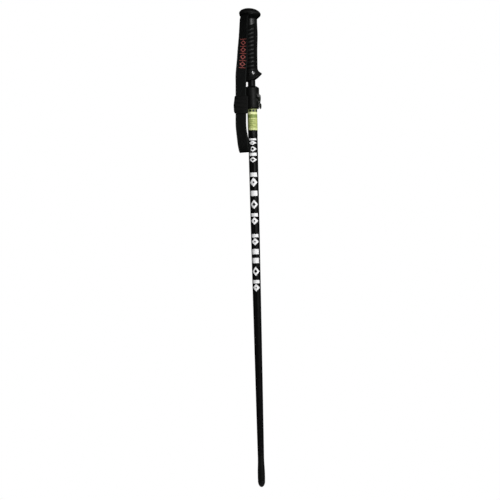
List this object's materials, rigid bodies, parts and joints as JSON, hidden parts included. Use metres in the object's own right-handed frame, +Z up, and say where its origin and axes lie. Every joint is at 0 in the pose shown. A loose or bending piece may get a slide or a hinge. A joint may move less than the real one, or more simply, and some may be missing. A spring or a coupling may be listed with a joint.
{
  "type": "telescoping hand stick",
  "caption": "Telescoping stick with a ribbed pole grip, a webbing wrist strap with a slide, a lever length clamp, a tapered shaft and a blunt tip.",
  "frame": {"origin": "centre of the flat end of the nose, on the shaft's axis", "axes": "+Z up the shaft to the pommel, +X to the side of the grip's forward lip and of the clamp lever"},
  "size_m": [0.0561, 0.05, 0.9144],
  "materials": {
    "grip_plastic": "moulded black plastic, semi-gloss",
    "grip_rubber": "soft black rubber with a fine moulded texture",
    "webbing": "black woven webbing with a red sewn pattern",
    "slider_plastic": "moulded black plastic, satin",
    "coated_tube": "black anodised tube",
    "shaft_coating": "black painted tube with white printed marks",
    "inner_plastic": "plain dark grey plastic",
    "clamp_plastic": "moulded black plastic, satin",
    "steel": "plain steel",
    "dark_steel": "blackened steel",
    "label_film": "yellow-green printed film",
    "ferrule_plastic": "moulded black plastic, satin",
    "nose_rubber": "hard black rubber"
  },
  "bodies": {
    "grip": {"pommel_cap": "grip_plastic", "grip_core": "grip_plastic", "grip_sleeve": "grip_rubber", "strap_pin": "steel", "upper_tube": "coated_tube", "tube_end_plug": "inner_plastic"},
    "collar": {"lock_collar": "clamp_plastic", "clamp_bolt": "dark_steel", "head_washer": "dark_steel", "nut_washer": "dark_steel", "clamp_nut": "dark_steel"},
    "lever": {"lock_lever": "clamp_plastic"},
    "shaft": {"lower_shaft": "shaft_coating", "guide_bush": "inner_plastic", "product_label": "label_film", "tip_ferrule": "ferrule_plastic", "tip_nose": "nose_rubber", "tip_stud": "steel"},
    "strap": {"wrist_strap": "webbing"},
    "slider": {"strap_slider": "slider_plastic"}
  },
  "joints": [
    {"name": "telescope", "type": "slide", "parent": "grip", "child": "collar", "axis": [0, 0, -1], "range_m": [-0.007, 0.2]},
    {"name": "shaft_turn", "type": "hinge", "parent": "collar", "child": "shaft", "pos_m": [0, 0, 0.74], "axis": [0, 0, 1], "continuous": true},
    {"name": "lever_open", "type": "hinge", "parent": "collar", "child": "lever", "pos_m": [0.0116, 0, 0.746], "axis": [0, -1, 0], "range_deg": [0, 110]},
    {"name": "strap_swing", "type": "hinge", "parent": "grip", "child": "strap", "pos_m": [-0.00803, -0.00892, 0.9014], "axis": [-0.7431, 0.6691, 0], "range_deg": [0, 30]},
    {"name": "slider_travel", "type": "slide", "parent": "strap", "child": "slider", "axis": [0.0232, 0, 0.9997], "range_m": [-0.02, 0.025]}
  ]
}
